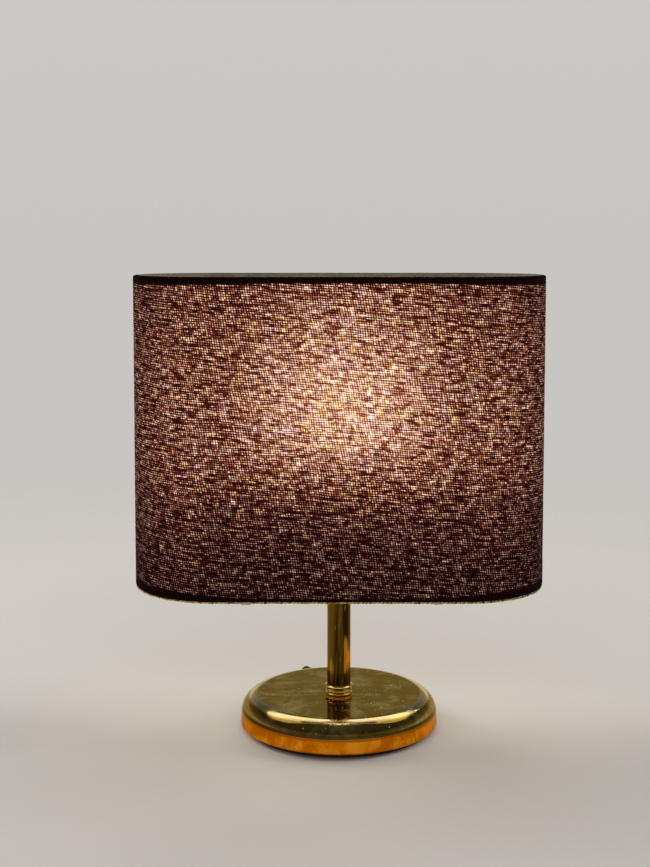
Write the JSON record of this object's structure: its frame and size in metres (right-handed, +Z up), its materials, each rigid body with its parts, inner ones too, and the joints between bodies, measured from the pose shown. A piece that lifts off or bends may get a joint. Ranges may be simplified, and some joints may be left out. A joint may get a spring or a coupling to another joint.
{
  "type": "table lamp",
  "caption": "Table lamp with a weighted polished brass disc base, round brass stem and oval woven fabric shade over a screw-in bulb, with a rotary switch on the bulb holder.",
  "frame": {"origin": "centre of the felt underside, on the stem's axis, in the plane that the lamp stands on", "axes": "+Z up along the stem; +X along the shade's long side, to the right in the picture; +Y away from the camera, to the back where the cord grommet is"},
  "size_m": [0.304, 0.1607, 0.3415],
  "materials": {
    "polished_brass": "polished, lacquered",
    "bright_brass": "bright",
    "iron": "painted black",
    "felt": "matt felt",
    "steel": "zinc plated",
    "black_rubber": "matt",
    "cable_sheath": "smooth",
    "wire_insulation": "smooth",
    "holder_plastic": "moulded, slightly glossy",
    "ceramic": "unglazed",
    "lamp_white": "smooth",
    "lamp_diffuser": "opal, lit",
    "black_glass": "black vitrite",
    "nickel": "nickel plated",
    "board": "white solder mask",
    "emitter": "yellow phosphor",
    "woven_fabric": "coarse open weave",
    "shade_lining": "translucent film",
    "frame_wire": "white lacquer",
    "gold_thread": "twisted metallic thread"
  },
  "bodies": {
    "base": {"base_cover": "polished_brass", "base_weight": "iron", "base_felt": "felt", "base_washer": "steel", "base_nut": "steel", "cord_grommet": "black_rubber", "threaded_rod": "steel", "stem_tube": "polished_brass", "stem_collar": "polished_brass", "stem_cap": "polished_brass", "inner_lead": "cable_sheath", "lead_wires": "wire_insulation", "holder_cap": "holder_plastic", "cap_lock_screw": "steel", "holder_body": "holder_plastic", "holder_core": "ceramic", "screw_shell": "nickel", "centre_contact": "bright_brass", "terminal_screws": "bright_brass", "switch_block": "holder_plastic"},
    "ring_nut": {"shade_ring_nut": "holder_plastic"},
    "switch": {"switch_shaft": "steel", "switch_knob": "holder_plastic"},
    "bulb": {"bulb_contact": "nickel", "bulb_insulator": "black_glass", "bulb_cap": "nickel", "bulb_housing": "lamp_white", "bulb_diffuser": "lamp_diffuser", "led_board": "board", "led_chips": "emitter"},
    "shade": {"shade_fabric": "woven_fabric", "shade_liner": "shade_lining", "shade_top_ring": "frame_wire", "shade_bottom_ring": "frame_wire", "spider_arms": "frame_wire", "fitter_ring": "frame_wire", "edge_thread": "gold_thread"}
  },
  "joints": [
    {"name": "shade_turn", "type": "hinge", "parent": "base", "child": "shade", "pos_m": [0, 0, 0.166], "axis": [0, 0, 1], "continuous": true},
    {"name": "ring_nut_lift", "type": "slide", "parent": "base", "child": "ring_nut", "axis": [0, 0, 1], "range_m": [0, 0.02]},
    {"name": "switch_turn", "type": "hinge", "parent": "base", "child": "switch", "pos_m": [0, -0.026, 0.151], "axis": [0, 1, 0], "continuous": true},
    {"name": "bulb_lift", "type": "slide", "parent": "base", "child": "bulb", "axis": [0, 0, 1], "range_m": [0, 0.026]}
  ]
}
